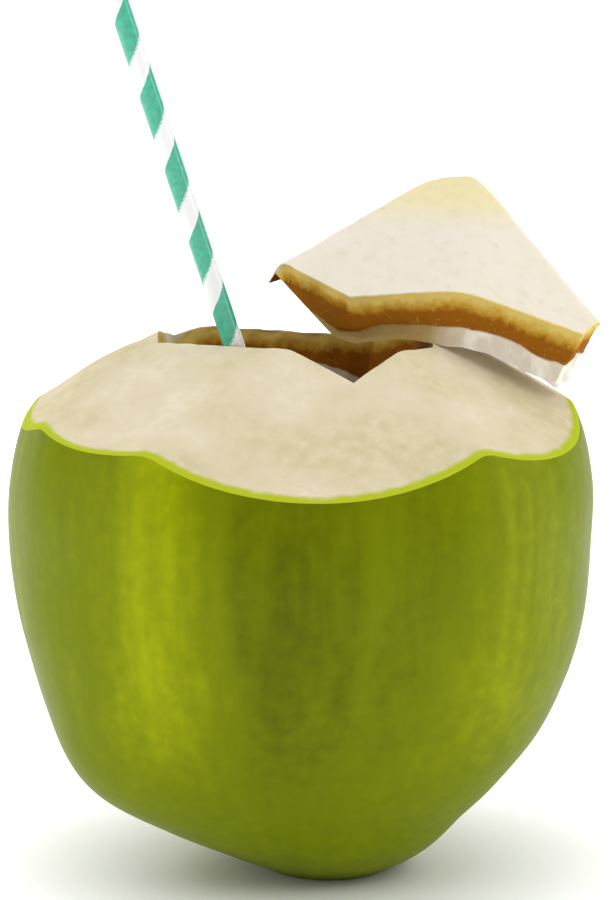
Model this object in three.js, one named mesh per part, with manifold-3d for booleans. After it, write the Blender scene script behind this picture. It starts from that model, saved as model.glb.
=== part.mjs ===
// A fresh green coconut, trimmed at the top and opened for drinking, with the piece that was cut out
// of it lying on the right of the opening and a paper straw standing in the hollow.
// Millimetres, +Z up. The origin is the centre of the small flat spot that the nut stands on,
// -Y is the front and +X is the right.
import * as THREE from 'three';
import { mergeVertices } from 'three/addons/utils/BufferGeometryUtils.js';
import Module from 'manifold-3d';

const wasm = await Module();
wasm.setup();

const DEGREE = Math.PI / 180;
const FAR = 400; // side of a block that stands for everything beyond a knife cut

// The grown nut: a blunt three-cornered shape. One outline runs up a ridge and the other up the
// flatter face between two ridges, each as [radius, height] from the edge of the flat spot.
const nut = {
  columns: 60,
  rows: 27,
  axis: [-8.5, 0], // higher up, the nut's axis stands this far from the flat spot's centre
  leanHeight: 62,
  sway: -8, // and at this height it is this much fuller on the left
  swayHeight: 27,
  ridgeTurn: 216, // one of the three ridges, counted from +X
  ridge: [
    [18, 0], [28, 5], [38.5, 11], [49, 18], [63.5, 29], [74, 43], [80.4, 60], [84.8, 79],
    [86, 99], [86.8, 119], [81.5, 140], [66, 160], [38, 178], [12, 198], [0, 203],
  ],
  valley: [
    [18, 0], [30, 6], [40, 14], [47.5, 24], [55, 35], [63.5, 48], [73, 63], [80, 80],
    [84.5, 99], [82.5, 119], [76.2, 140], [63, 160], [37, 178], [12, 198], [0, 203],
  ],
};

// Knife strokes that bare the husk. Each is a flat cut that falls away from the nut's axis:
// the way it faces, its fall per millimetre, and its height where it would cross the axis.
const strokes = [
  { turn: 188, fall: 0.8, height: 200.2 },
  { turn: 230, fall: 0.46, height: 173 },
  { turn: 275, fall: 0.75, height: 185.5 },
  { turn: 326, fall: 0.66, height: 186.6 },
  { turn: 10, fall: 0.56, height: 183.7 },
  { turn: 105, fall: 0.8, height: 186 },
  { turn: 150, fall: 0.6, height: 182 },
];

// The drinking hole: cuts that run steeply inwards, through these corners of the rim.
const opening = {
  aim: [0, 0, 40],
  rimHeight: 158,
  corners: [[16, -46], [38, -20], [37, 50], [24, 54], [-38, 24], [-41, -8]],
};

// The hollow that held the water.
const hollow = {
  centre: [0, 0, 108],
  radius: 61,
  height: 46,
  columns: 32,
  rows: 18,
};

// The cut piece: it grew over the opening, under a steeper peak, and now lies across the right of
// the rim, turned about one of its own corners.
const lid = {
  strokes: [
    { turn: 349, fall: 0.78, height: 190 },
    { turn: 27, fall: 0.88, height: 197 },
    { turn: 97, fall: 1.1, height: 206.6 },
    { turn: 198, fall: 0.57, height: 193 },
    { turn: 239, fall: 0.93, height: 193 },
    { turn: 244, fall: 1.07, height: 194.5 },
  ],
  corners: [[17, -45], [38, -20], [37, 50], [24, 54], [-10, 30], [-38, 0]],
  under: { turn: 89, fall: 0.89, height: 123.6 }, // the flat tear that leaves its tip thin
  corner: [38, -20, 157],
  turn: -95,
  tiltFront: -2.5, // its far side lies lower
  tiltRight: 3,
  place: [14.3, -18.9, 172],
};

const straw = {
  length: 210,
  radius: 3,
  bore: 2.6,
  sides: 16,
  foot: [11.5, -3, 64.4],
  lean: [-0.297, -0.159, 0.93],
};

function makeMaterial(color, roughness) {
  return new THREE.MeshStandardMaterial({ color, roughness, metalness: 0 });
}

function makeMesh(name, geometry, material) {
  const mesh = new THREE.Mesh(geometry, material);
  mesh.name = name;
  return mesh;
}

function toSolid(geometry) {
  const bare = geometry.clone();
  bare.deleteAttribute('normal');
  bare.deleteAttribute('uv');
  const merged = mergeVertices(bare, 1e-4);
  return new wasm.Manifold(new wasm.Mesh({
    numProp: 3,
    vertProperties: new Float32Array(merged.attributes.position.array),
    triVerts: new Uint32Array(merged.index.array),
  }));
}

function toGeometry(solid) {
  const mesh = solid.getMesh();
  const geometry = new THREE.BufferGeometry();
  geometry.setAttribute('position', new THREE.BufferAttribute(mesh.vertProperties, 3));
  geometry.setIndex(new THREE.BufferAttribute(mesh.triVerts, 1));
  geometry.computeVertexNormals();
  return geometry;
}

// Everything on the side of a plane that its normal points to.
function beyondPlane(point, normal) {
  const block = new THREE.BoxGeometry(FAR, FAR, FAR);
  block.translate(0, 0, FAR / 2);
  block.applyQuaternion(new THREE.Quaternion().setFromUnitVectors(new THREE.Vector3(0, 0, 1), normal));
  block.translate(point.x, point.y, point.z);
  return toSolid(block);
}

function fromAxis(x, y, z) {
  return new THREE.Vector3(nut.axis[0] + x, nut.axis[1] + y, z);
}

function strokeSolid({ turn, fall, height }) {
  const normal = new THREE.Vector3(
    fall * Math.cos(turn * DEGREE),
    fall * Math.sin(turn * DEGREE),
    1,
  );
  return beyondPlane(fromAxis(0, 0, height), normal.normalize());
}

function outlineCurve(points) {
  return new THREE.SplineCurve(points.map(([radius, height]) => new THREE.Vector2(radius, height)));
}

// A lathe blank whose rows are then pushed out to the ridges and in to the faces, and leaned over.
function makeNut() {
  const ridge = outlineCurve(nut.ridge);
  const valley = outlineCurve(nut.valley);
  const blank = [new THREE.Vector2(0, 0)];
  for (let row = 0; row <= nut.rows; row += 1) {
    blank.push(valley.getPoint(row / nut.rows));
  }
  const geometry = new THREE.LatheGeometry(blank, nut.columns);
  geometry.rotateX(Math.PI / 2);
  const position = geometry.attributes.position;
  for (let index = 0; index < position.count; index += 1) {
    const row = index % blank.length - 1;
    if (row < 0) continue;
    const column = Math.floor(index / blank.length) % nut.columns;
    const angle = 2 * Math.PI * column / nut.columns - Math.PI / 2;
    const ridgeShare = (1 + Math.cos(3 * (angle - nut.ridgeTurn * DEGREE))) / 2;
    const point = valley.getPoint(row / nut.rows).lerp(ridge.getPoint(row / nut.rows), ridgeShare);
    const lean = THREE.MathUtils.smoothstep(point.y, 0, nut.leanHeight);
    const share = (point.y / nut.swayHeight) ** 2;
    const sway = nut.sway * share * Math.exp(1 - share);
    position.setXYZ(
      index,
      nut.axis[0] * lean + sway + point.x * Math.cos(angle),
      nut.axis[1] * lean + point.x * Math.sin(angle),
      point.y,
    );
  }
  return toSolid(geometry);
}

function makeHollow() {
  const geometry = new THREE.SphereGeometry(1, hollow.columns, hollow.rows);
  geometry.rotateX(Math.PI / 2);
  geometry.scale(hollow.radius, hollow.radius, hollow.height);
  const centre = fromAxis(...hollow.centre);
  geometry.translate(centre.x, centre.y, centre.z);
  return toSolid(geometry);
}

// The wedge that cuts down through these corners of the rim take out.
function makeWedge(corners) {
  const aim = fromAxis(...opening.aim);
  const rim = corners.map(([x, y]) => fromAxis(x, y, opening.rimHeight));
  let wedge = beyondPlane(aim, new THREE.Vector3(0, 0, 1));
  rim.forEach((corner, index) => {
    const next = rim[(index + 1) % rim.length];
    const inward = corner.clone().sub(aim).cross(next.clone().sub(aim)).normalize();
    wedge = wedge.intersect(beyondPlane(aim, inward));
  });
  return wedge;
}

function trimNut(cuts) {
  return cuts.reduce((solid, cut) => solid.subtract(strokeSolid(cut)), makeNut()).subtract(makeHollow());
}

// The piece that was cut out, still where it grew.
function makeCutPiece() {
  return trimNut(lid.strokes).intersect(makeWedge(lid.corners)).intersect(strokeSolid(lid.under));
}

function placeLid(solid) {
  const corner = fromAxis(...lid.corner);
  const place = fromAxis(...lid.place);
  const geometry = toGeometry(solid);
  geometry.translate(-corner.x, -corner.y, -corner.z);
  geometry.rotateZ(lid.turn * DEGREE);
  geometry.rotateX(lid.tiltFront * DEGREE);
  geometry.rotateY(lid.tiltRight * DEGREE);
  geometry.translate(place.x, place.y, place.z);
  return geometry;
}

function makeStraw() {
  const section = [
    new THREE.Vector2(straw.bore, 0),
    new THREE.Vector2(straw.radius, 0),
    new THREE.Vector2(straw.radius, straw.length),
    new THREE.Vector2(straw.bore, straw.length),
    new THREE.Vector2(straw.bore, 0),
  ];
  return new THREE.LatheGeometry(section, straw.sides);
}

const coconutMesh = makeMesh(
  'coconut',
  toGeometry(trimNut(strokes).subtract(makeWedge(opening.corners))),
  makeMaterial(0x6f7a08, 0.5),
);
const lidMesh = makeMesh('lid', placeLid(makeCutPiece()), makeMaterial(0xefe6cd, 0.8));
const strawMesh = makeMesh('straw', makeStraw(), makeMaterial(0xf2f4f2, 0.6));
const strawFoot = fromAxis(...straw.foot);
strawMesh.position.copy(strawFoot);
strawMesh.quaternion.setFromUnitVectors(
  new THREE.Vector3(0, 1, 0),
  new THREE.Vector3(...straw.lean).normalize(),
);

const coconut = new THREE.Group();
coconut.name = 'green_coconut';
coconut.add(coconutMesh, lidMesh, strawMesh);

export default coconut;
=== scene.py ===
import math

import bpy
import numpy as np
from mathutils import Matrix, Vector, noise


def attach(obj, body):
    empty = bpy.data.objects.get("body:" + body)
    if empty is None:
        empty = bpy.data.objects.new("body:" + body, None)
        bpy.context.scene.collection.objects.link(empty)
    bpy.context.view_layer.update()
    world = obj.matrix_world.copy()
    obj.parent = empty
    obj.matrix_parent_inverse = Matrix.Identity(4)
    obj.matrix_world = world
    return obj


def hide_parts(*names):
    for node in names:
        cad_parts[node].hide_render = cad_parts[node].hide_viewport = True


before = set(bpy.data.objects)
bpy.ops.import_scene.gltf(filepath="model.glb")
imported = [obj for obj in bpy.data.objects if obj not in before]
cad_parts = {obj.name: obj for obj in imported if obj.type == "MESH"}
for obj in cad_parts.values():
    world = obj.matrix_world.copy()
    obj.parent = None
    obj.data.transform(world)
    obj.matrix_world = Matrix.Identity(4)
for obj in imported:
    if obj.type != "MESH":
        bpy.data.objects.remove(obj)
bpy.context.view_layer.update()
metres = 0.001
farOff = 50                  # flesh and shell are nowhere near
deepInside = 60              # well past the cut walls, in millimetres


def clamp01(value):
    return np.clip(value, 0.0, 1.0)


def smoothStep(value, low, high):
    share = clamp01((value - low) / (high - low))
    return share * share * (3 - 2 * share)


def turnGap(a, b):
    # smallest difference between two directions, in degrees
    return np.abs((a - b + 180) % 360 - 180)


def roughness3d(points, size, seed, octaves=3):
    # soft noise from -1 to 1 at points in millimetres, for bumps about this size
    offset = Vector((seed * 17.3, seed * 5.1, seed * 9.7))
    flat = points.reshape(-1, 3) / size
    values = [noise.fractal(Vector(p) + offset, 1.0, 2.0, octaves) for p in flat]
    return np.array(values).reshape(points.shape[:-1])


def splineAt(outline, share):
    # the same curve through [radius, height] points that the part's outlines use
    points = np.array(outline, float)
    last = len(points) - 1
    place = np.clip(np.asarray(share, float), 0, 1) * last
    index = np.minimum(place.astype(int), last - 1)
    weight = (place - index)[..., None]
    before = points[np.maximum(index - 1, 0)]
    start, end = points[index], points[index + 1]
    after = points[np.minimum(index + 2, last)]
    startSlope, endSlope = (end - before) / 2, (after - start) / 2
    return (
        (2 * start - 2 * end + startSlope + endSlope) * weight ** 3
        + (3 * end - 3 * start - 2 * startSlope - endSlope) * weight ** 2
        + startSlope * weight + start
    )


def cutHeight(cuts, x, y, soft):
    # height of the trimmed husk over a place: the lowest of the flat cuts, with softened edges
    heights = np.stack([
        cut["height"] - cut["fall"] * (
            x * math.cos(math.radians(cut["turn"])) + y * math.sin(math.radians(cut["turn"]))
        ) for cut in cuts
    ])
    lowest = heights.min(0)
    return lowest - soft * np.log(np.exp(-(heights - lowest) / soft).sum(0))


def roundAxis(radius, turns, height):
    # points at this distance and height, one in each direction
    return np.stack([radius * np.cos(turns), radius * np.sin(turns), height], -1)


def pushOut(points, amount, turns):
    points[..., 0] += amount * np.cos(turns)
    points[..., 1] += amount * np.sin(turns)


def rayRadius(corners, turns):
    # how far the edge of a polygon lies from the axis in each direction, in radians
    radius = np.full(turns.shape, 1e9)
    for start, end in zip(corners, corners[1:] + corners[:1]):
        edge = np.subtract(end, start)
        normal = np.array([edge[1], -edge[0]])
        facing = normal[0] * np.cos(turns) + normal[1] * np.sin(turns)
        reach = normal @ np.array(start) / np.where(np.abs(facing) < 1e-9, 1e-9, facing)
        radius = np.where((reach > 0) & (reach < radius), reach, radius)
    return radius


def snappedTurns(columns, corners):
    # evenly spread directions, with the nearest one moved onto each corner
    turns = np.arange(columns) * 2 * math.pi / columns
    for x, y in corners:
        corner = math.atan2(y, x) % (2 * math.pi)
        turns[int(round(corner / (2 * math.pi) * columns)) % columns] = corner
    return turns


def sheetFaces(count, columns, closed=False):
    # quads between neighbouring rows; a closed sheet also joins its last row to its first
    faces = []
    for row in range(count if closed else count - 1):
        beyond = (row + 1) % count
        for column in range(columns):
            beside = (column + 1) % columns
            faces.append((row * columns + column, row * columns + beside,
                          beyond * columns + beside, beyond * columns + column))
    return faces


def makePiece(name, points, faces, attributes):
    # attributes hold one number for each point
    mesh = bpy.data.meshes.new(name)
    mesh.from_pydata((points * metres).tolist(), [], faces)
    for key, values in attributes.items():
        layer = mesh.attributes.new(key, "FLOAT", "POINT")
        layer.data.foreach_set("value", np.asarray(values).ravel().astype(np.float32))
    piece = bpy.data.objects.new(name, mesh)
    bpy.context.collection.objects.link(piece)
    return piece


def closedGrid(name, rows, bottom, top, attributes):
    # rows of points round the axis, closed with a point at each end
    count, columns = rows.shape[:2]
    points = np.concatenate([rows.reshape(-1, 3), [bottom], [top]])
    faces = sheetFaces(count, columns)
    bottomPoint, topPoint = count * columns, count * columns + 1
    for column in range(columns):
        beside = (column + 1) % columns
        faces.append((bottomPoint, beside, column))
        faces.append((topPoint, (count - 1) * columns + column, (count - 1) * columns + beside))
    return makePiece(name, points, faces, {
        key: np.concatenate([values.ravel(), [bottomValue, topValue]])
        for key, (values, bottomValue, topValue) in attributes.items()})


def finishPiece(piece, material, standsFor=None, sharpAngle=38):
    mesh = piece.data
    mesh.materials.clear()
    mesh.materials.append(material)
    mesh.shade_smooth()
    mesh.set_sharp_from_angle(angle=math.radians(sharpAngle))
    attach(piece, "root")
    if standsFor:
        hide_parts(standsFor)


class Value:
    # a socket that can be used in sums
    def __init__(self, shader, socket):
        self.shader, self.socket = shader, socket

    def math(self, operation, other):
        return self.shader.node("ShaderNodeMath", {"operation": operation}, {0: self, 1: other})

    def __add__(self, other):
        return self.math("ADD", other)

    def __sub__(self, other):
        return self.math("SUBTRACT", other)

    def __mul__(self, other):
        return self.math("MULTIPLY", other)

    def __rsub__(self, other):
        return self.shader.node("ShaderNodeMath", {"operation": "SUBTRACT"}, {0: other, 1: self})

    __radd__ = __add__

    def between(self, low, high):
        # 0 below low, 1 above high, soft in between
        return self.shader.node(
            "ShaderNodeMapRange", {"interpolation_type": "SMOOTHSTEP"},
            {"Value": self, "From Min": low, "From Max": high})


class Shader:
    def __init__(self, name):
        self.material = bpy.data.materials.new(name)
        self.material.use_nodes = True
        self.tree = self.material.node_tree
        self.tree.nodes.clear()
        self.surface = self.tree.nodes.new("ShaderNodeBsdfPrincipled")
        output = self.tree.nodes.new("ShaderNodeOutputMaterial")
        self.tree.links.new(self.surface.outputs["BSDF"], output.inputs["Surface"])
        self.place = self.node("ShaderNodeTexCoord", {}, {}, "Object")

    def node(self, kind, settings, inputs, output=0):
        made = self.tree.nodes.new(kind)
        for key, value in settings.items():
            setattr(made, key, value)
        for key, value in inputs.items():
            if isinstance(value, Value):
                self.tree.links.new(value.socket, made.inputs[key])
            else:
                made.inputs[key].default_value = value
        return Value(self, made.outputs[output])

    def attribute(self, name):
        return self.node("ShaderNodeAttribute", {"attribute_name": name}, {}, "Fac")

    def stretched(self, x, y, z):
        return self.node("ShaderNodeMapping", {}, {"Vector": self.place, "Scale": (x, y, z)})

    def noise(self, scale, detail=3.0, vector=None, roughness=0.5):
        return self.node("ShaderNodeTexNoise", {}, {
            "Vector": vector or self.place, "Scale": scale, "Detail": detail,
            "Roughness": roughness}, "Fac")

    def mix(self, share, first, second):
        # a colour between two colours
        made = self.tree.nodes.new("ShaderNodeMix")
        made.data_type = "RGBA"
        for socket, value in ((made.inputs[0], share), (made.inputs[6], first), (made.inputs[7], second)):
            if isinstance(value, Value):
                self.tree.links.new(value.socket, socket)
            else:
                socket.default_value = value
        return Value(self, made.outputs[2])

    def feed(self, name, value):
        socket = self.surface.inputs[name]
        if isinstance(value, Value):
            self.tree.links.new(value.socket, socket)
        else:
            socket.default_value = value

    def bump(self, height, strength, distance):
        self.feed("Normal", self.node(
            "ShaderNodeBump", {}, {"Height": height, "Strength": strength, "Distance": distance}, "Normal"))


def paint(red, green, blue):
    # a screen colour from 0 to 255 as the renderer's own
    def linear(part):
        part = part / 255
        return part / 12.92 if part <= 0.04045 else ((part + 0.055) / 1.055) ** 2.4
    return (linear(red), linear(green), linear(blue), 1.0)


# all sizes are in millimetres, and heights are counted from the flat spot that the nut stands on
nut = {
    "axis": -8.5,            # the axis leans this far to the side, by leanHeight
    "leanHeight": 62,
    "sway": -8,
    "swayHeight": 27,
    "ridgeTurn": 216,        # one of three ridges
    "ridge": [
        (18, 0), (28, 5), (38.5, 11), (49, 18), (63.5, 29), (74, 43), (80.4, 60), (84.8, 79),
        (86, 99), (86.8, 119), (81.5, 140), (66, 160), (38, 178), (12, 198), (0, 203),
    ],
    "valley": [
        (18, 0), (30, 6), (40, 14), (47.5, 24), (55, 35), (63.5, 48), (73, 63), (80, 80),
        (84.5, 99), (82.5, 119), (76.2, 140), (63, 160), (37, 178), (12, 198), (0, 203),
    ],
    "columns": 400,
    "skinRows": 104,
    "huskRows": 44,
    "wallRows": 28,
    "hollowRows": 34,
    "footRings": [6, 12],
    "edgeSoftness": 0.7,     # how rounded the edges between two knife cuts are
    "skinWaves": 0.45,       # slow dents in the skin
    "huskWaves": 0.35,
    "wallWaves": 0.55,
    "dentSize": 34,
    "chatterSize": 9,        # marks that the knife leaves on the husk
    "tornSize": 5,
    "paleEndTurn": 158,      # the opening's wall is as pale as the husk here
    "paleEndWidth": 17,
    "paleEndShare": 0.93,
    "paintedDarkFace": (250, 266, 279, 285),    # directions between which painted shade, a painted dark reflection, darkens the front, with soft ends
    "paintedHighlights": ((0.75, 243, 11), (0.45, 316, 13)),    # painted highlights on the skin: strength, direction and width
    "inset": 0.15,           # keeps the waves inside the grown size
}
strokes = [
    {"turn": 188, "fall": 0.8, "height": 200.2},
    {"turn": 230, "fall": 0.46, "height": 173},
    {"turn": 275, "fall": 0.75, "height": 185.5},
    {"turn": 326, "fall": 0.66, "height": 186.6},
    {"turn": 10, "fall": 0.56, "height": 183.7},
    {"turn": 105, "fall": 0.8, "height": 186},
    {"turn": 150, "fall": 0.6, "height": 182},
]
opening = {
    "aim": 40,               # the cuts of the opening would all meet at this height on the axis
    "rimHeight": 158,
    "corners": [(16, -46), (38, -20), (37, 50), (24, 54), (-38, 24), (-41, -8)],
}
hollow = {"centre": 108, "radius": 61, "height": 46}


def skinPoint(turns, share):
    # a point of the grown skin, measured from the nut's own axis
    ridgeShare = (1 + np.cos(3 * (turns - math.radians(nut["ridgeTurn"])))) / 2
    outline = (splineAt(nut["valley"], share) * (1 - ridgeShare[..., None])
               + splineAt(nut["ridge"], share) * ridgeShare[..., None])
    radius, height = outline[..., 0], outline[..., 1]
    lean = smoothStep(height, 0, nut["leanHeight"])
    swayShare = (height / nut["swayHeight"]) ** 2
    side = nut["axis"] * (lean - 1) + nut["sway"] * swayShare * np.exp(1 - swayShare)
    return radius, side, height


def wallFoot(cornerRadius):
    # where a cut of the opening, as a share of the way up to the rim, meets the hollow
    reach = opening["rimHeight"] - opening["aim"]
    drop = opening["aim"] - hollow["centre"]
    a = (cornerRadius / hollow["radius"]) ** 2 + (reach / hollow["height"]) ** 2
    b = 2 * reach * drop / hollow["height"] ** 2
    c = (drop / hollow["height"]) ** 2 - 1
    return (-b + np.sqrt(b * b - 4 * a * c)) / (2 * a)


def rimOf(cuts, cornerRadius, turns, soft):
    # where the opening's cuts meet the trimmed husk
    reach = opening["rimHeight"] - opening["aim"]
    radius = cornerRadius.copy()
    for _ in range(12):
        height = cutHeight(cuts, radius * np.cos(turns), radius * np.sin(turns), soft)
        radius = cornerRadius * (height - opening["aim"]) / reach
    return radius, height


def makeNut():
    turns = snappedTurns(nut["columns"], opening["corners"])
    soft = nut["edgeSoftness"]
    low, high = np.full(turns.shape, 0.3), np.full(turns.shape, 0.97)
    for _ in range(30):                       # where the knife cuts meet the skin
        middle = (low + high) / 2
        radius, side, height = skinPoint(turns, middle)
        kept = height < cutHeight(strokes, side + radius * np.cos(turns), radius * np.sin(turns), soft)
        low, high = np.where(kept, middle, low), np.where(kept, high, middle)
    edgeShare = low
    spread = np.linspace(0, 1, nut["skinRows"])[:, None]
    radius, side, height = skinPoint(turns[None, :] + 0 * spread, edgeShare[None, :] * spread)
    skin = np.stack([side + radius * np.cos(turns), radius * np.sin(turns), height], -1)
    dents = roughness3d(skin * np.array([1, 1, 0.35]), nut["dentSize"], 1, 3)
    fade = smoothStep(height, 2, 16)          # the foot stays flat
    pushOut(skin, (dents - 0.35) * nut["skinWaves"] * fade - nut["inset"] * fade, turns)

    cornerRadius = rayRadius(opening["corners"], turns)
    rimRadius, rimHeight = rimOf(strokes, cornerRadius, turns, soft)
    edge = skin[-1]
    rim = roundAxis(rimRadius, turns, rimHeight)
    way = np.linspace(0, 1, nut["huskRows"] + 1)[1:, None] ** 1.35
    husk = edge[None] * (1 - way[..., None]) + rim[None] * way[..., None]
    husk[..., 2] = cutHeight(strokes, husk[..., 0], husk[..., 1], soft)
    husk[0:1, :, 2] = husk[0:1, :, 2] * 0.6 + (edge[None, :, 2]) * 0.4
    chatter = roughness3d(husk * np.array([1, 1, 0.2]), nut["chatterSize"], 2, 3)
    husk[..., 2] += (chatter - 0.3) * nut["huskWaves"] * smoothStep(way, 0.0, 0.2)

    reach = opening["rimHeight"] - opening["aim"]
    rimShare = (rim[..., 2] - opening["aim"]) / reach
    footShare = wallFoot(cornerRadius)
    down = np.linspace(0, 1, nut["wallRows"] + 1)[1:, None]
    share = rimShare[None] * (1 - down) + footShare[None] * down
    wall = roundAxis(cornerRadius * share, turns, opening["aim"] + reach * share)
    torn = roughness3d(wall * np.array([1, 1, 0.5]), nut["tornSize"], 3, 4)
    pushOut(wall, (torn + 0.35) * nut["wallWaves"] * smoothStep(down, 0, 0.12), turns)

    foot = wall[-1]
    footAngle = np.arcsin(np.clip((foot[:, 2] - hollow["centre"]) / hollow["height"], -1, 1))
    step = np.linspace(0, 1, nut["hollowRows"] + 1)[1:-1, None]
    angle = footAngle[None] * (1 - step) - math.pi / 2 * step
    inside = roundAxis(hollow["radius"] * np.cos(angle), turns,
                       hollow["centre"] + hollow["height"] * np.sin(angle))

    rings = []
    for ringRadius in nut["footRings"]:
        rings.append(np.stack([-nut["axis"] + ringRadius * np.cos(turns), ringRadius * np.sin(turns),
                               0 * turns], -1))
    rows = np.concatenate([np.array(rings), skin, husk, wall, inside])
    rows[..., 0] += nut["axis"]

    profileShare = np.linspace(0.5, 1, 90)[:, None]
    profileRadius, _, profileHeight = skinPoint(turns[None] + 0 * profileShare, profileShare + 0 * turns)

    def depthOf(points):
        radial = np.hypot(points[..., 0], points[..., 1])
        gap = np.full(radial.shape, 1e9)
        for r, h in zip(profileRadius, profileHeight):
            gap = np.minimum(gap, np.hypot(radial - r, points[..., 2] - h))
        return gap

    lengths = [len(rings), len(skin), len(husk), len(wall), len(inside)]
    blank = [np.zeros((n, len(turns))) for n in lengths]
    wallLength = (rimShare - footShare)[None] * np.hypot(reach, cornerRadius)[None]
    peel = np.concatenate([blank[0], blank[1], depthOf(husk), depthOf(wall), blank[4] + 30])
    paleEnd = np.exp(-(turnGap(np.degrees(turns), nut["paleEndTurn"]) / nut["paleEndWidth"]) ** 4)[None]
    seen = wallLength * down * (1 - nut["paleEndShare"] * paleEnd)
    below = np.concatenate([blank[0], blank[1], blank[2], seen, blank[4] + deepInside])
    flesh = np.concatenate([blank[0] + farOff, blank[1] + farOff, blank[2] + farOff,
                            wallLength * (1 - down), blank[4]])
    degrees = np.degrees(turns)[None]
    # painted shade: a darker face at the front, a painted dark reflection, with a soft upright edge on its
    # right
    fadeIn, dark, edgeStart, edgeEnd = nut["paintedDarkFace"]
    paintedLightBands = -0.75 * smoothStep(degrees, fadeIn, dark) * (1 - smoothStep(degrees, edgeStart, edgeEnd))
    paintedLightBands -= 0.3 * smoothStep(degrees, edgeStart, edgeEnd) * (1 - smoothStep(degrees, 292, 306))
    # painted highlights: soft upright bright stripes on the skin
    for strength, direction, width in nut["paintedHighlights"]:
        paintedLightBands += strength * np.exp(-(turnGap(degrees, direction) / width) ** 2)
    # the painted bands fade out low down, and the skin is lighter towards the foot
    paintedLightBands = paintedLightBands * smoothStep(skin[..., 2], 20, 80) + 0.35 * (1 - smoothStep(skin[..., 2], 0, 50))
    # tone carries this painted shade and these painted highlights into the skin's colour
    tone = np.concatenate([blank[0] + 0.35, paintedLightBands, blank[2], blank[3], blank[4]])
    bottom = (0, 0, 0)
    top = (nut["axis"], 0, hollow["centre"] - hollow["height"])
    return closedGrid("coconutBody", rows, bottom, top, {
        "peel": (peel, 0, 30), "wall": (below, 0, deepInside),
        "flesh": (flesh, farOff, 0), "tone": (tone, 0.35, 0)})


# the lid is made where it grew, then laid over the right of the rim
lid = {
    "strokes": [
        {"turn": 349, "fall": 0.78, "height": 190},
        {"turn": 27, "fall": 0.88, "height": 197},
        {"turn": 97, "fall": 1.1, "height": 206.6},
        {"turn": 198, "fall": 0.57, "height": 193},
        {"turn": 239, "fall": 0.93, "height": 193},
        {"turn": 244, "fall": 1.07, "height": 194.5},
    ],
    "corners": [(17, -45), (38, -20), (37, 50), (24, 54), (-10, 30), (-38, 0)],
    "under": {"turn": 89, "fall": 0.89, "height": 123.6},
    "corner": (38, -20, 157),
    "turn": -95,
    "tiltFront": -2.5,
    "tiltRight": 3,
    "place": (14.3, -18.9, 172),
    "columns": 360,
    "topRows": 60,
    "wallRows": 26,
    "underRows": 44,
    "edgeSoftness": 1.3,
    "topWaves": 0.5,
    "wallWaves": 0.7,
    "thinnest": 0.5,
    "tornSize": 5,
    "lumpSize": 6,
    "chatterSize": 12,
    "shell": 10.5,           # husk and shell reach this far down the wall, and flesh shows below them
    "fleshStep": 0.9,
    "fleshLip": 2.6,         # how far the ragged flesh hangs below the cut wall
}


def lidUnder(x, y):
    cut = lid["under"]
    tear = cut["height"] - cut["fall"] * (
        x * math.cos(math.radians(cut["turn"])) + y * math.sin(math.radians(cut["turn"])))
    round2 = 1 - (x * x + y * y) / hollow["radius"] ** 2
    dome = hollow["centre"] + hollow["height"] * np.sqrt(np.clip(round2, 0, 1))
    soft = 1.0
    highest = np.maximum(tear, dome)
    return highest + soft * np.log(np.exp((tear - highest) / soft) + np.exp((dome - highest) / soft))


def turned(points):
    # from where the lid grew to where it lies
    a, f, r = (math.radians(lid[key]) for key in ("turn", "tiltFront", "tiltRight"))
    spin = np.array([[math.cos(a), -math.sin(a), 0], [math.sin(a), math.cos(a), 0], [0, 0, 1]])
    front = np.array([[1, 0, 0], [0, math.cos(f), -math.sin(f)], [0, math.sin(f), math.cos(f)]])
    right = np.array([[math.cos(r), 0, math.sin(r)], [0, 1, 0], [-math.sin(r), 0, math.cos(r)]])
    moved = (points - np.array(lid["corner"])) @ (right @ front @ spin).T + np.array(lid["place"])
    return moved + np.array([nut["axis"], 0, 0])


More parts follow.
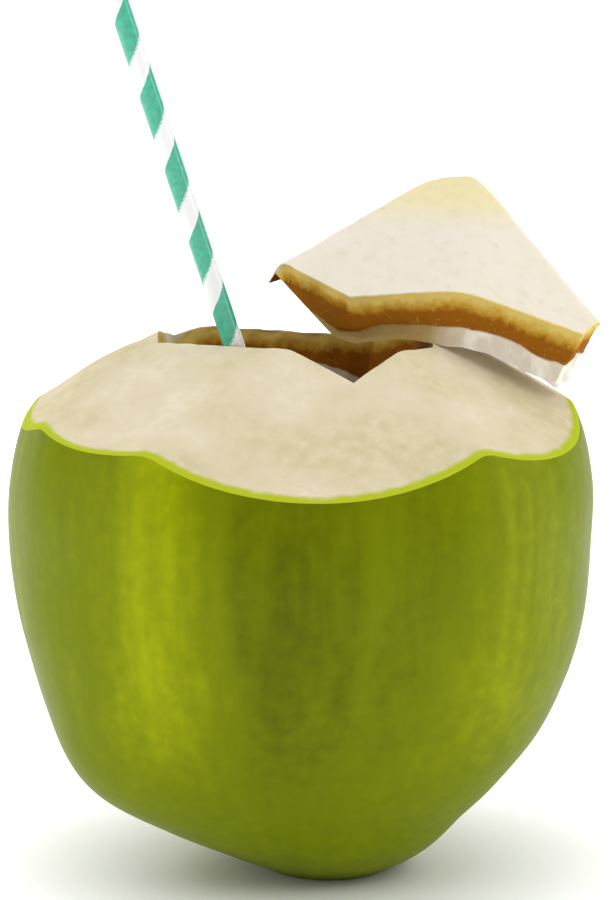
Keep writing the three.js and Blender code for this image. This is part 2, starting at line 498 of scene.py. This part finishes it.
def makeLid():
    turns = snappedTurns(lid["columns"], lid["corners"])
    soft = lid["edgeSoftness"]
    reach = opening["rimHeight"] - opening["aim"]
    cornerRadius = rayRadius(lid["corners"], turns)
    rimRadius, rimHeight = rimOf(lid["strokes"], cornerRadius, turns, soft)
    cos, sin = np.cos(turns), np.sin(turns)

    low = np.full(turns.shape, 0.6)
    high = (rimHeight - lid["thinnest"] - opening["aim"]) / reach
    for _ in range(30):                       # where each wall meets the underside
        middle = (low + high) / 2
        isBelow = opening["aim"] + reach * middle < lidUnder(
            cornerRadius * middle * cos, cornerRadius * middle * sin)
        low, high = np.where(isBelow, middle, low), np.where(isBelow, high, middle)
    footShare = high
    footRadius = cornerRadius * footShare

    inward = np.linspace(1, 0, lid["underRows"] + 1)[:-1, None]
    around = inward[::-1]
    underRadius = footRadius[None] * around
    under = roundAxis(underRadius, turns, lidUnder(underRadius * cos, underRadius * sin))
    alongEdge = under[-1][:, 1]
    hang = smoothStep(alongEdge, -6, 8) * (cos > 0) * (1 - 0.6 * smoothStep(alongEdge, 30, 48))
    ragged = 0.62 + 0.25 * np.sin(alongEdge * 0.27) + 0.13 * np.sin(alongEdge * 0.8 + 1)
    fromWall = footRadius[None] - underRadius
    lip = lid["fleshLip"] * hang * clamp01(ragged)
    under[..., 2] -= lip[None] * np.exp(-((fromWall - 2.6) / 2.8) ** 2)
    lumps = roughness3d(under, lid["lumpSize"], 5, 3)
    under[..., 2] += (lumps + 0.5) * 0.7 * smoothStep(fromWall, 0, 4)
    above = cutHeight(lid["strokes"], under[..., 0], under[..., 1], soft)
    under[..., 2] = np.minimum(under[..., 2], above - lid["thinnest"])

    up = np.linspace(0, 1, lid["wallRows"] + 1)[1:, None]
    rimShare = (rimHeight - opening["aim"]) / reach
    share = footShare[None] * (1 - up) + rimShare[None] * up
    wall = roundAxis(cornerRadius * share, turns, opening["aim"] + reach * share)
    torn = roughness3d(wall * np.array([1, 1, 0.5]), lid["tornSize"], 6, 4)
    wallLength = (rimShare - footShare)[None] * np.hypot(reach, cornerRadius)[None]
    depth = wallLength * (1 - up)
    push = (torn - 0.4) * lid["wallWaves"] * smoothStep(up, 0, 0.2) * smoothStep(1 - up, 0, 0.12)
    leftWall = 1 - smoothStep(alongEdge, -24, -17)
    shellHere = lid["shell"] + 60 * (cos < 0) + 2.5 * leftWall + 0.8 * np.sin(alongEdge * 0.21)
    push -= lid["fleshStep"] * smoothStep(depth - shellHere, -0.5, 0.5) * smoothStep(up, 0, 0.1)
    pushOut(wall, push, turns)

    out = np.linspace(1, 0, lid["topRows"] + 1)[1:-1, None]
    topRadius = rimRadius[None] * out
    top = roundAxis(topRadius, turns, cutHeight(lid["strokes"], topRadius * cos, topRadius * sin, soft))
    chatter = roughness3d(top * np.array([1, 1, 0.2]), lid["chatterSize"], 7, 3)
    top[..., 2] += (chatter - 0.3) * lid["topWaves"] * smoothStep(1 - out, 0, 0.12)

    lengths = [len(under), len(wall), len(top)]
    blank = [np.zeros((n, len(turns))) for n in lengths]
    below = np.concatenate([blank[0] + deepInside, depth, blank[2]])
    thinEdge = 1 - smoothStep(wallLength[0], 5, 8)
    flesh = np.concatenate([
        30 * thinEdge * smoothStep(around, 0.6, 0.8), shellHere - depth + 2, blank[2] + farOff])
    peel = np.concatenate([blank[0] + 30, blank[1] + 20, blank[2] + 12])
    white = smoothStep(alongEdge, 0, 18)[None]
    peak = np.concatenate([blank[0] + white, blank[1] + white, smoothStep(top[..., 2], 165, 190)])
    rows = turned(np.concatenate([under, wall, top]))
    bottom = turned(np.array([0, 0, float(lidUnder(np.zeros(1), np.zeros(1))[0])]))
    crown = turned(np.array([0, 0, float(cutHeight(lid["strokes"], np.zeros(1), np.zeros(1), soft)[0])]))
    return closedGrid("lidPiece", rows, bottom, crown, {
        "peel": (peel, 30, 12), "wall": (below, deepInside, 0),
        "flesh": (flesh, 0, farOff), "tone": (peak, 1, 1)})


straw = {
    "length": 210,
    "radius": 3,
    "bore": 2.6,
    "foot": (11.5, -3, 64.4),
    "lean": (-0.297, -0.159, 0.93),
    "sides": 64,
    "rows": 420,
    "pitch": 22,             # one turn of the stripe
    "stripe": 0.6,           # share of each turn that is teal
    "phase": 0.1,
    "seam": 0.05,            # depth of the groove beside each wind of paper
}


def makeStraw():
    turns = np.arange(straw["sides"]) * 2 * math.pi / straw["sides"]
    lift = np.linspace(0, straw["length"], straw["rows"])[:, None]
    wind = (lift / straw["pitch"] - turns[None] / (2 * math.pi) + straw["phase"]) % 1
    groove = np.exp(-(np.minimum(wind, 1 - wind) / 0.02) ** 2) * straw["seam"]
    radius = straw["radius"] - groove
    outside = roundAxis(radius, turns, lift + 0 * turns)
    innerLift = np.linspace(straw["length"], 0, 60)[:, None]
    inside = roundAxis(straw["bore"] + 0 * innerLift, turns, innerLift + 0 * turns)
    rows = np.concatenate([outside, inside])
    stripe = np.concatenate([
        (wind < straw["stripe"]) * 1.0, np.zeros((len(inside), straw["sides"]))])
    winds = np.concatenate([wind, np.full((len(inside), straw["sides"]), 0.9)])
    side = np.concatenate([np.zeros_like(wind), np.ones((len(inside), straw["sides"]))])
    up = Vector(straw["lean"]).normalized()
    turn = np.array(Vector((0, 0, 1)).rotation_difference(up).to_matrix())
    rows = rows @ turn.T + np.array(straw["foot"]) + np.array([nut["axis"], 0, 0])
    count, columns = rows.shape[:2]
    return makePiece("paperStraw", rows.reshape(-1, 3), sheetFaces(count, columns, closed=True),
                     {"stripe": stripe, "inside": side, "wind": winds})


colours = {
    "skin": paint(110, 122, 0),
    # skinDark and skinLight serve random mottling and also the painted shade and painted highlights on the
    # skin
    "skinDark": paint(74, 80, 0),
    "skinLight": paint(150, 160, 4),
    "lime": paint(176, 188, 40),
    "husk": paint(215, 204, 172),
    "huskLight": paint(226, 214, 190),
    "huskShade": paint(203, 190, 152),
    "fibreTan": paint(196, 164, 100),
    "wallTop": paint(206, 180, 98),
    "wallMiddle": paint(182, 140, 44),
    "wallDeep": paint(142, 86, 16),
    "flesh": paint(236, 230, 218),
    "fleshShade": paint(214, 204, 188),
    "paleFibre": paint(172, 146, 92),
    "lidTop": paint(230, 222, 205),
    "lidPeak": paint(231, 218, 172),
    "teal": paint(0, 150, 118),
    "tealLight": paint(0, 176, 140),
    "paper": paint(226, 228, 228),
}


huskLook = {
    "limeFrom": 1.3,         # depth under the skin where lime starts to turn into husk
    "limeTo": 2.4,
    "topFade": (1.5, 4.5),   # depth down a cut wall where its tan rim darkens
    "deepFade": (4.0, 6.5),  # and where it is darkest
    "raggedness": 5,
    "roughness": 0.8,
    "wax": 0.4,
    "shine": 0.05,
    "bump": 0.35,
    "bumpDepth": 0.0006,     # metres
}


def huskMaterial(name, isNut):
    shader = Shader(name)
    peel = shader.attribute("peel")
    below = shader.attribute("wall")
    flesh = shader.attribute("flesh")
    # tone: on the nut the skin's painted shade and painted highlights, on the lid the share towards its
    # peak and towards its white flesh
    tone = shader.attribute("tone")
    cloudy = shader.noise(38, 4)
    fine = shader.noise(260, 4)
    specks = shader.noise(900, 3)
    if isNut:
        streaks = shader.noise(46, 4, shader.stretched(1, 1, 0.07))
        fineStreaks = shader.noise(190, 3, shader.stretched(1, 1, 0.05))
        blotches = shader.noise(24, 5, shader.stretched(1, 1, 0.6), 0.6)
        height = shader.node("ShaderNodeSeparateXYZ", {}, {"Vector": shader.place}, "Z")
        upper = height.between(0.0, 0.075)
        # on the skin, painted shade, a painted dark reflection and painted highlights from tone are mixed
        # with random streaks and blotches
        paintedLightAndMottle = (tone * 0.62 + upper * ((streaks - 0.5) * 0.6 + (fineStreaks - 0.5) * 0.6)
                     + (blotches - 0.5) * 0.5 + (fine - 0.5) * 0.45)
        skin = shader.mix(paintedLightAndMottle.between(0.0, 0.9), colours["skin"], colours["skinLight"])
        skin = shader.mix((0 - paintedLightAndMottle).between(-0.2, 1.0), skin, colours["skinDark"])
        huskColour = shader.mix(cloudy.between(0.35, 0.68), colours["huskShade"], colours["huskLight"])
        huskColour = shader.mix(fine.between(0.3, 0.75), huskColour, colours["husk"])
    else:
        skin = colours["lime"]
        huskColour = shader.mix(tone.between(0.45, 1.0), colours["lidTop"], colours["lidPeak"])
        huskColour = shader.mix(fine.between(0.4, 0.9) * 0.3, huskColour, colours["huskShade"])
        huskColour = shader.mix(cloudy.between(0.55, 0.75) * 0.5, huskColour, colours["huskLight"])
    flecks = specks.between(0.66, 0.74) * fine.between(0.5, 0.6)
    huskColour = shader.mix(flecks * 0.5, huskColour, colours["fibreTan"])
    limeEdge = (peel + (fine - 0.5) * 1.2 + (cloudy - 0.5) * 1.6).between(
        huskLook["limeFrom"], huskLook["limeTo"])
    limeColour = shader.mix(limeEdge, colours["lime"], huskColour)
    colour = shader.mix(peel.between(0.02, 0.2), skin, limeColour) if isNut else huskColour

    grain = shader.noise(120, 5, shader.stretched(1, 1, 0.5), 0.65)
    mottle = shader.noise(420, 4, None, 0.6)
    depth = below + (grain - 0.5) * huskLook["raggedness"] + (mottle - 0.5) * huskLook["raggedness"]
    wallColour = shader.mix(depth.between(*huskLook["topFade"]), colours["wallTop"], colours["wallMiddle"])
    wallColour = shader.mix(depth.between(*huskLook["deepFade"]), wallColour, colours["wallDeep"])
    wallColour = shader.mix(specks.between(0.6, 0.75) * 0.2, wallColour, colours["wallTop"])
    fleshColour = shader.mix(grain.between(0.42, 0.62), colours["fleshShade"], colours["flesh"])
    if not isNut:
        fleshColour = shader.mix(tone, colours["paleFibre"], fleshColour)
    edgeOfFlesh = (flesh + (grain - 0.5) * 2.5).between(1.6, 2.4)
    wallColour = shader.mix(edgeOfFlesh, fleshColour, wallColour)
    isWall = (below + (fine - 0.5) * 0.6).between(0.1, 0.6)
    colour = shader.mix(isWall, colour, wallColour)
    shader.feed("Base Color", colour)

    roughness = huskLook["roughness"]
    if isNut:                                 # the skin is waxier than bare husk
        waxy = 1 - peel.between(0.02, 0.2)
        roughness = roughness - waxy * (huskLook["wax"] - (blotches - 0.5) * 0.3)
    shader.feed("Roughness", roughness)
    shader.feed("Specular IOR Level", huskLook["shine"])
    shader.bump(fine * 0.4 + specks * 0.25 + grain * 0.35 * isWall, huskLook["bump"], huskLook["bumpDepth"])
    return shader.material


def strawMaterial():
    shader = Shader("stripedPaper")
    wind = shader.attribute("wind")
    inside = shader.attribute("inside")
    fibre = shader.noise(700, 4)
    edge = (fibre - 0.5) * 0.03
    isTeal = (wind + edge).between(0.012, 0.03) * (1 - (wind + edge).between(
        straw["stripe"] - 0.012, straw["stripe"] + 0.006)) * (1 - inside)
    colour = shader.mix(isTeal, colours["paper"], shader.mix(
        fibre.between(0.3, 0.8), colours["teal"], colours["tealLight"]))
    shader.feed("Base Color", colour)
    shader.feed("Roughness", 0.5 + (fibre - 0.5) * 0.2)
    shader.feed("Coat Weight", 1.0)
    shader.feed("Coat Roughness", 0.18)
    shader.bump(fibre, 0.12, 0.0002)
    return shader.material


# short fibres that stand out of the torn walls, laid by geometry nodes
fibres = {
    "density": 60000,        # for each square metre
    "length": 2.6,
    "thickness": 0.11,
    "seed": 4,
    "from": 0.6,             # fibres stand on a wall from this far below its rim
    "to": 40.0,
}


def fibreTree(name, material):
    tree = bpy.data.node_groups.new(name, "GeometryNodeTree")
    face = tree.interface
    face.new_socket("Geometry", in_out="INPUT", socket_type="NodeSocketGeometry")
    inputs = {}
    for label, kind in (("Density", "NodeSocketFloat"), ("Length", "NodeSocketFloat"),
                        ("Thickness", "NodeSocketFloat"), ("Seed", "NodeSocketInt")):
        inputs[label] = face.new_socket(label, in_out="INPUT", socket_type=kind).identifier
    face.new_socket("Geometry", in_out="OUTPUT", socket_type="NodeSocketGeometry")

    def add(kind, settings=None, links=None):
        node = tree.nodes.new(kind)
        for key, value in (settings or {}).items():
            setattr(node, key, value)
        for key, value in (links or {}).items():
            if isinstance(value, bpy.types.NodeSocket):
                tree.links.new(value, node.inputs[key])
            else:
                node.inputs[key].default_value = value
        return node

    group = add("NodeGroupInput")
    wall = add("GeometryNodeInputNamedAttribute", {"data_type": "FLOAT"}, {"Name": "wall"})
    flesh = add("GeometryNodeInputNamedAttribute", {"data_type": "FLOAT"}, {"Name": "flesh"})
    onWall = add("ShaderNodeMath", {"operation": "GREATER_THAN"}, {0: wall.outputs[0], 1: fibres["from"]})
    offFlesh = add("ShaderNodeMath", {"operation": "GREATER_THAN"}, {0: flesh.outputs[0], 1: 2.0})
    notHollow = add("ShaderNodeMath", {"operation": "LESS_THAN"}, {0: wall.outputs[0], 1: fibres["to"]})
    both = add("ShaderNodeMath", {"operation": "MULTIPLY"}, {0: onWall.outputs[0], 1: offFlesh.outputs[0]})
    chosen = add("ShaderNodeMath", {"operation": "MULTIPLY"}, {0: both.outputs[0], 1: notHollow.outputs[0]})
    density = add("ShaderNodeMath", {"operation": "MULTIPLY"},
                  {0: chosen.outputs[0], 1: group.outputs["Density"]})
    scatter = add("GeometryNodeDistributePointsOnFaces", {"distribute_method": "RANDOM"}, {
        "Mesh": group.outputs["Geometry"], "Density": density.outputs[0], "Seed": group.outputs["Seed"]})
    strand = add("GeometryNodeMeshCone", {}, {
        "Vertices": 5, "Side Segments": 2, "Radius Top": 0.0,
        "Radius Bottom": group.outputs["Thickness"], "Depth": group.outputs["Length"]})
    droop = add("FunctionNodeRandomValue", {"data_type": "FLOAT_VECTOR"}, {
        "Min": (-1.25, -1.25, -1.0), "Max": (1.25, 1.25, 1.0), "Seed": group.outputs["Seed"]})
    aimed = add("FunctionNodeRotateEuler", {"rotation_type": "EULER", "space": "LOCAL"}, {
        "Rotation": scatter.outputs["Rotation"], "Rotate By": droop.outputs[0]})
    size = add("FunctionNodeRandomValue", {"data_type": "FLOAT"}, {
        "Min": 0.35, "Max": 1.0, "Seed": group.outputs["Seed"]})
    sizeOut = [socket for socket in size.outputs if socket.enabled][0]
    placed = add("GeometryNodeInstanceOnPoints", {}, {
        "Points": scatter.outputs["Points"], "Instance": strand.outputs["Mesh"],
        "Rotation": aimed.outputs[0], "Scale": sizeOut})
    real = add("GeometryNodeRealizeInstances", {}, {"Geometry": placed.outputs[0]})
    painted = add("GeometryNodeSetMaterial", {}, {"Geometry": real.outputs[0], "Material": material})
    output = add("NodeGroupOutput")
    tree.links.new(painted.outputs[0], output.inputs[0])
    return tree, inputs


def makeFibres(name, source, material):
    tree, inputs = fibreTree(name + "Tree", material)
    holder = bpy.data.objects.new(name + "Source", source.data.copy())
    bpy.context.collection.objects.link(holder)
    modifier = holder.modifiers.new("fibres", "NODES")
    modifier.node_group = tree
    modifier[inputs["Density"]] = float(fibres["density"])
    modifier[inputs["Length"]] = fibres["length"] * metres
    modifier[inputs["Thickness"]] = fibres["thickness"] * metres
    modifier[inputs["Seed"]] = fibres["seed"]
    bpy.context.view_layer.update()
    evaluated = holder.evaluated_get(bpy.context.evaluated_depsgraph_get())
    mesh = bpy.data.meshes.new_from_object(evaluated)
    bpy.data.objects.remove(holder)
    piece = bpy.data.objects.new(name, mesh)
    bpy.context.collection.objects.link(piece)
    return piece


def fibreMaterial():
    shader = Shader("strandFibre")
    tint = shader.noise(90, 2)
    shader.feed("Base Color", shader.mix(
        tint.between(0.35, 0.65), colours["wallMiddle"], colours["fibreTan"]))
    shader.feed("Roughness", 0.8)
    return shader.material


body = makeNut()
print("nut made:", len(body.data.polygons), "faces")
lidPiece = makeLid()
print("lid made:", len(lidPiece.data.polygons), "faces")
strawPiece = makeStraw()
print("straw made:", len(strawPiece.data.polygons), "faces")

strand = fibreMaterial()
bodyFibres = makeFibres("rimFibres", body, strand)
lidFibres = makeFibres("lidFibres", lidPiece, strand)
print("fibres made:", len(bodyFibres.data.polygons), len(lidFibres.data.polygons))

finishPiece(body, huskMaterial("greenNut", True), "coconut")
finishPiece(lidPiece, huskMaterial("creamHusk", False), "lid")
finishPiece(strawPiece, strawMaterial(), "straw", 50)
finishPiece(bodyFibres, strand)
finishPiece(lidFibres, strand)

studio = {
    "floorSize": 14.0,
    "backdropAt": 9.0,
    "floor": paint(250, 250, 250),
    "glowFrom": 0.02,        # away from the coconut the paper glows, so that it reads as plain white
    "glowTo": 0.17,
    "glow": 0.6,
    "world": 0.28,
    "lights": [              # name, place, aim, size and power
        ("ceiling", (0.0, 0.0, 5.0), (0, 0, 0), (12, 12), 420),
        ("leftSoftbox", (-1.1, -0.3, 0.55), (0, 0, 0.1), (0.6, 1.2), 5),
        ("rightSoftbox", (1.15, -0.1, 0.6), (0, 0, 0.1), (0.5, 1.2), 5.5),
    ],
    "camera": {"target": (-0.0066, 0.0, 0.1251), "elevation": 10, "distance": 1.05, "lens": 143.6},
}


def makeFloor():
    half = studio["floorSize"]
    back = studio["backdropAt"]
    bend = 1.0
    profile = [(-half, 0.0), (back, 0.0)]
    for step in range(1, 13):
        angle = math.radians(90 * step / 12)
        profile.append((back + bend * math.sin(angle), bend * (1 - math.cos(angle))))
    profile.append((back + bend, 5.0))
    points = [(x, y, z) for y, z in profile for x in (-half, half)]
    faces = [(2 * i, 2 * i + 1, 2 * i + 3, 2 * i + 2) for i in range(len(profile) - 1)]
    mesh = bpy.data.meshes.new("studioFloor")
    mesh.from_pydata(points, [], faces)
    floor = bpy.data.objects.new("studioFloor", mesh)
    bpy.context.collection.objects.link(floor)
    shader = Shader("studioPaper")
    shader.feed("Base Color", studio["floor"])
    shader.feed("Roughness", 0.9)
    shader.feed("Specular IOR Level", 0.0)
    away = shader.node("ShaderNodeVectorMath", {"operation": "LENGTH"}, {0: shader.place}, "Value")
    glow = away.between(studio["glowFrom"], studio["glowTo"]) * studio["glow"]
    shader.feed("Emission Color", shader.mix(glow, (0, 0, 0, 1), (1, 1, 1, 1)))
    shader.feed("Emission Strength", 1.0)
    mesh.materials.append(shader.material)
    mesh.shade_smooth()


def makeLight(name, place, aim, size, power):
    data = bpy.data.lights.new(name, "AREA")
    data.shape = "RECTANGLE"
    data.size, data.size_y = size
    data.energy = power
    light = bpy.data.objects.new(name, data)
    bpy.context.collection.objects.link(light)
    light.location = place
    light.rotation_mode = "QUATERNION"
    light.rotation_quaternion = (Vector(aim) - Vector(place)).to_track_quat("-Z", "Y")


def makeCamera():
    setting = studio["camera"]
    elevation = math.radians(setting["elevation"])
    forward = Vector((0, math.cos(elevation), -math.sin(elevation)))
    data = bpy.data.cameras.new("camera")
    data.sensor_fit = "VERTICAL"
    data.sensor_height = 36
    data.lens = setting["lens"]
    camera = bpy.data.objects.new("camera", data)
    bpy.context.collection.objects.link(camera)
    camera.location = Vector(setting["target"]) - forward * setting["distance"]
    camera.rotation_mode = "QUATERNION"
    camera.rotation_quaternion = forward.to_track_quat("-Z", "Y")
    bpy.context.scene.camera = camera


makeFloor()
for name, place, aim, size, power in studio["lights"]:
    makeLight(name, place, aim, size, power)
world = bpy.data.worlds.new("studioWorld")
world.use_nodes = True
background = world.node_tree.nodes["Background"]
background.inputs["Color"].default_value = (1, 1, 1, 1)
background.inputs["Strength"].default_value = studio["world"]
bpy.context.scene.world = world
bpy.context.scene.view_settings.view_transform = "Standard"
makeCamera()
print("studio made")
